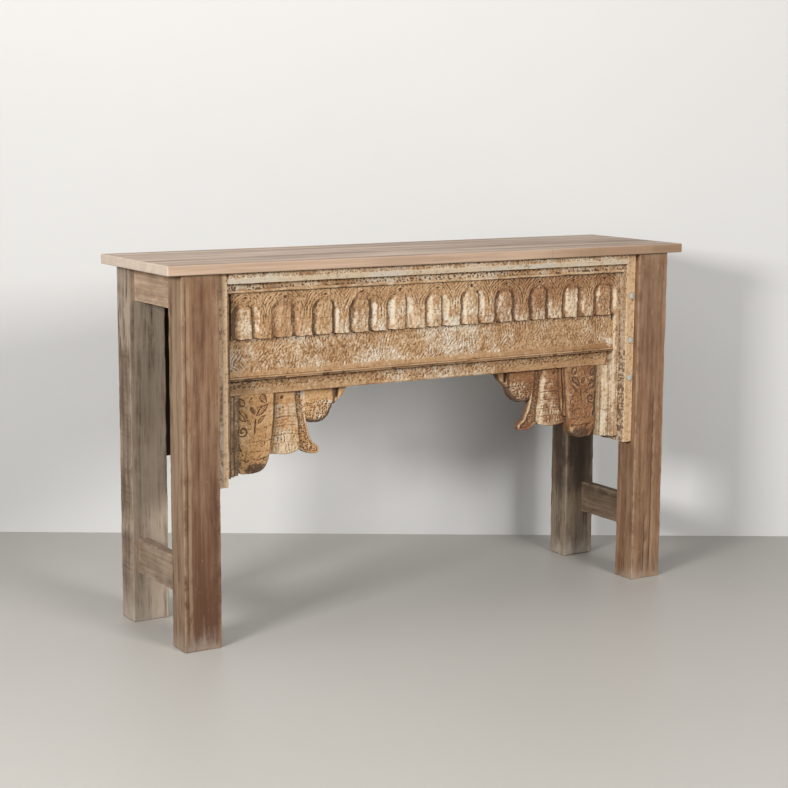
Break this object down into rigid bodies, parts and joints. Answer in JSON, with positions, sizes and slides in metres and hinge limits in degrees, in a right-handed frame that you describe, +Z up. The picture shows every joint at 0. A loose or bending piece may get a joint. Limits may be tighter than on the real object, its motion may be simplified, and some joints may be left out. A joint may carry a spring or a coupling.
{
  "type": "pier table",
  "caption": "Long narrow side table with square timber legs, a plank top and an old carved wooden front with a row of pointed niches and leaf brackets.",
  "frame": {"origin": "on the floor under the middle of the top", "axes": "+X along the front to the right as seen from the front, +Y to the wall behind, +Z up"},
  "size_m": [1.4, 0.365, 0.85],
  "materials": {
    "top_wood": "smooth oiled plank",
    "leg_wood": "weathered sawn timber",
    "rail_wood": "weathered sawn board",
    "stile_wood": "old planed board, worn",
    "carved_wood": "old carving with remains of limewash",
    "dark_wood": "dark stained timber",
    "batten_wood": "plain sawn softwood",
    "dowel_wood": "turned hardwood",
    "nail_iron": "old forged nail, grey-white bloom",
    "screw_steel": "plated"
  },
  "bodies": {
    "root": {"top_plank_1": "top_wood", "top_plank_2": "top_wood", "top_plank_3": "top_wood", "top_plank_4": "top_wood", "leg_front_left": "leg_wood", "leg_front_right": "leg_wood", "leg_rear_left": "leg_wood", "leg_rear_right": "leg_wood", "side_rail_left": "rail_wood", "stretcher_left": "rail_wood", "stile_left": "stile_wood", "jamb_left": "carved_wood", "bracket_left": "carved_wood", "rear_post_left": "dark_wood", "side_rail_right": "rail_wood", "stretcher_right": "rail_wood", "stile_right": "stile_wood", "jamb_right": "carved_wood", "bracket_right": "carved_wood", "rear_post_right": "dark_wood", "cornice": "carved_wood", "cove": "carved_wood", "arcade": "carved_wood", "frieze": "carved_wood", "ledge": "carved_wood", "beam": "carved_wood", "beam_end": "carved_wood", "back_batten_outer_left": "batten_wood", "back_batten_inner_left": "batten_wood", "back_batten_inner_right": "batten_wood", "back_batten_outer_right": "batten_wood", "rear_rail": "dark_wood", "cross_batten_1": "batten_wood", "cross_batten_2": "batten_wood", "cross_batten_3": "batten_wood", "leg_dowels": "dowel_wood", "stile_nails": "nail_iron", "facade_screws": "screw_steel", "post_screws": "screw_steel", "top_screws": "screw_steel"}
  },
  "joints": []
}
